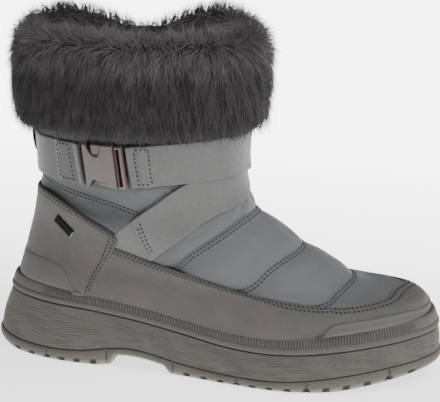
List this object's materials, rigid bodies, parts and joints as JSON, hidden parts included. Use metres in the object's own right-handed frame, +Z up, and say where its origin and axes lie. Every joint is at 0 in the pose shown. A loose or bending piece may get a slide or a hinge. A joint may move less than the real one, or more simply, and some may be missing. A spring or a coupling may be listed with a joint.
{
  "type": "ankle boot",
  "caption": "Quilted winter ankle boot, right foot, with a fur cuff, crossed webbing straps, a side-release buckle and a thick lugged sole.",
  "frame": {"origin": "on the floor under the middle of the heel's flat tread", "axes": "+X toward the toe, +Z up, -Y the outer side"},
  "size_m": [0.2873, 0.1174, 0.2147],
  "materials": {
    "outsole_rubber": "moulded, matt",
    "midsole_foam": "moulded foam, fine ribbing",
    "rim_rubber": "moulded, matt",
    "footbed_felt": "brushed felt",
    "quilted_nylon": "fine woven nylon, soft sheen",
    "nubuck": "nubuck",
    "faux_fur": "long pile faux fur",
    "webbing": "ribbed webbing, satin",
    "buckle_plastic": "satin moulded plastic",
    "black_webbing": "plain webbing"
  },
  "bodies": {
    "root": {"outsole": "outsole_rubber", "midsole": "midsole_foam", "sole_rim": "rim_rubber", "insole": "footbed_felt", "upper": "quilted_nylon", "mudguard": "nubuck", "heel_panel": "nubuck", "fur_cuff": "faux_fur", "ankle_strap": "webbing", "instep_strap": "webbing", "buckle_socket": "buckle_plastic", "buckle_plug": "buckle_plastic", "pull_loop": "black_webbing", "side_tag": "black_webbing"}
  },
  "joints": []
}
